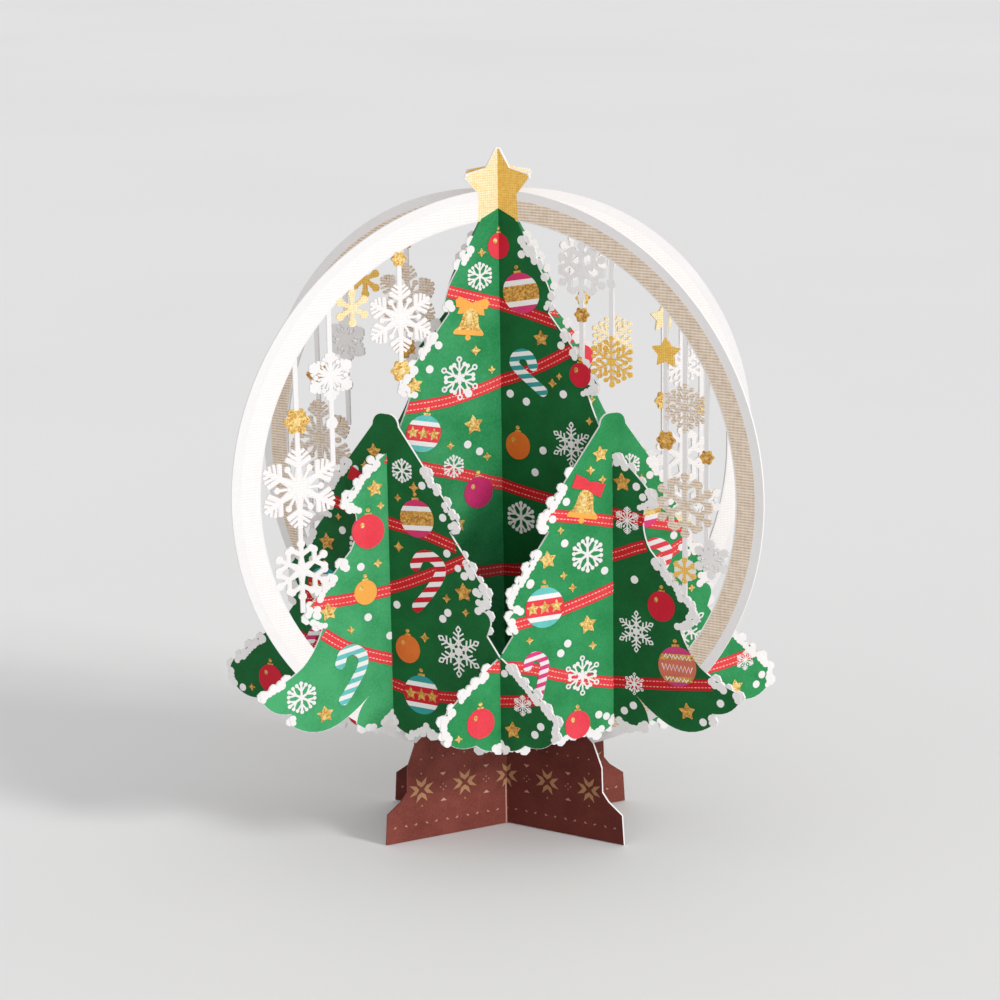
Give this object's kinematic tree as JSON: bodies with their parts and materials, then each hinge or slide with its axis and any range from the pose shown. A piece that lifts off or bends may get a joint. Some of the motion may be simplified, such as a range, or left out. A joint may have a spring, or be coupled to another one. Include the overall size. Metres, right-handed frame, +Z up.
{
  "type": "pop-up card",
  "caption": "Slotted pop-up card: crossed round card plates with Christmas trees, a star, hanging snowflakes and a stepped foot, standing open.",
  "frame": {"origin": "on the middle spine, where the two round plates cross, at the bottom edge of the foot", "axes": "+Z up along the spine, the small trees stand on the -Y side, and +X is to the right seen from them"},
  "size_m": [0.1458, 0.0724, 0.18],
  "materials": {
    "printed_card": "matte",
    "green_card": "matte"
  },
  "bodies": {
    "root": {"left_round_plate": "printed_card", "right_round_plate": "printed_card", "left_tree_plate": "green_card", "right_tree_plate": "green_card"}
  },
  "joints": []
}
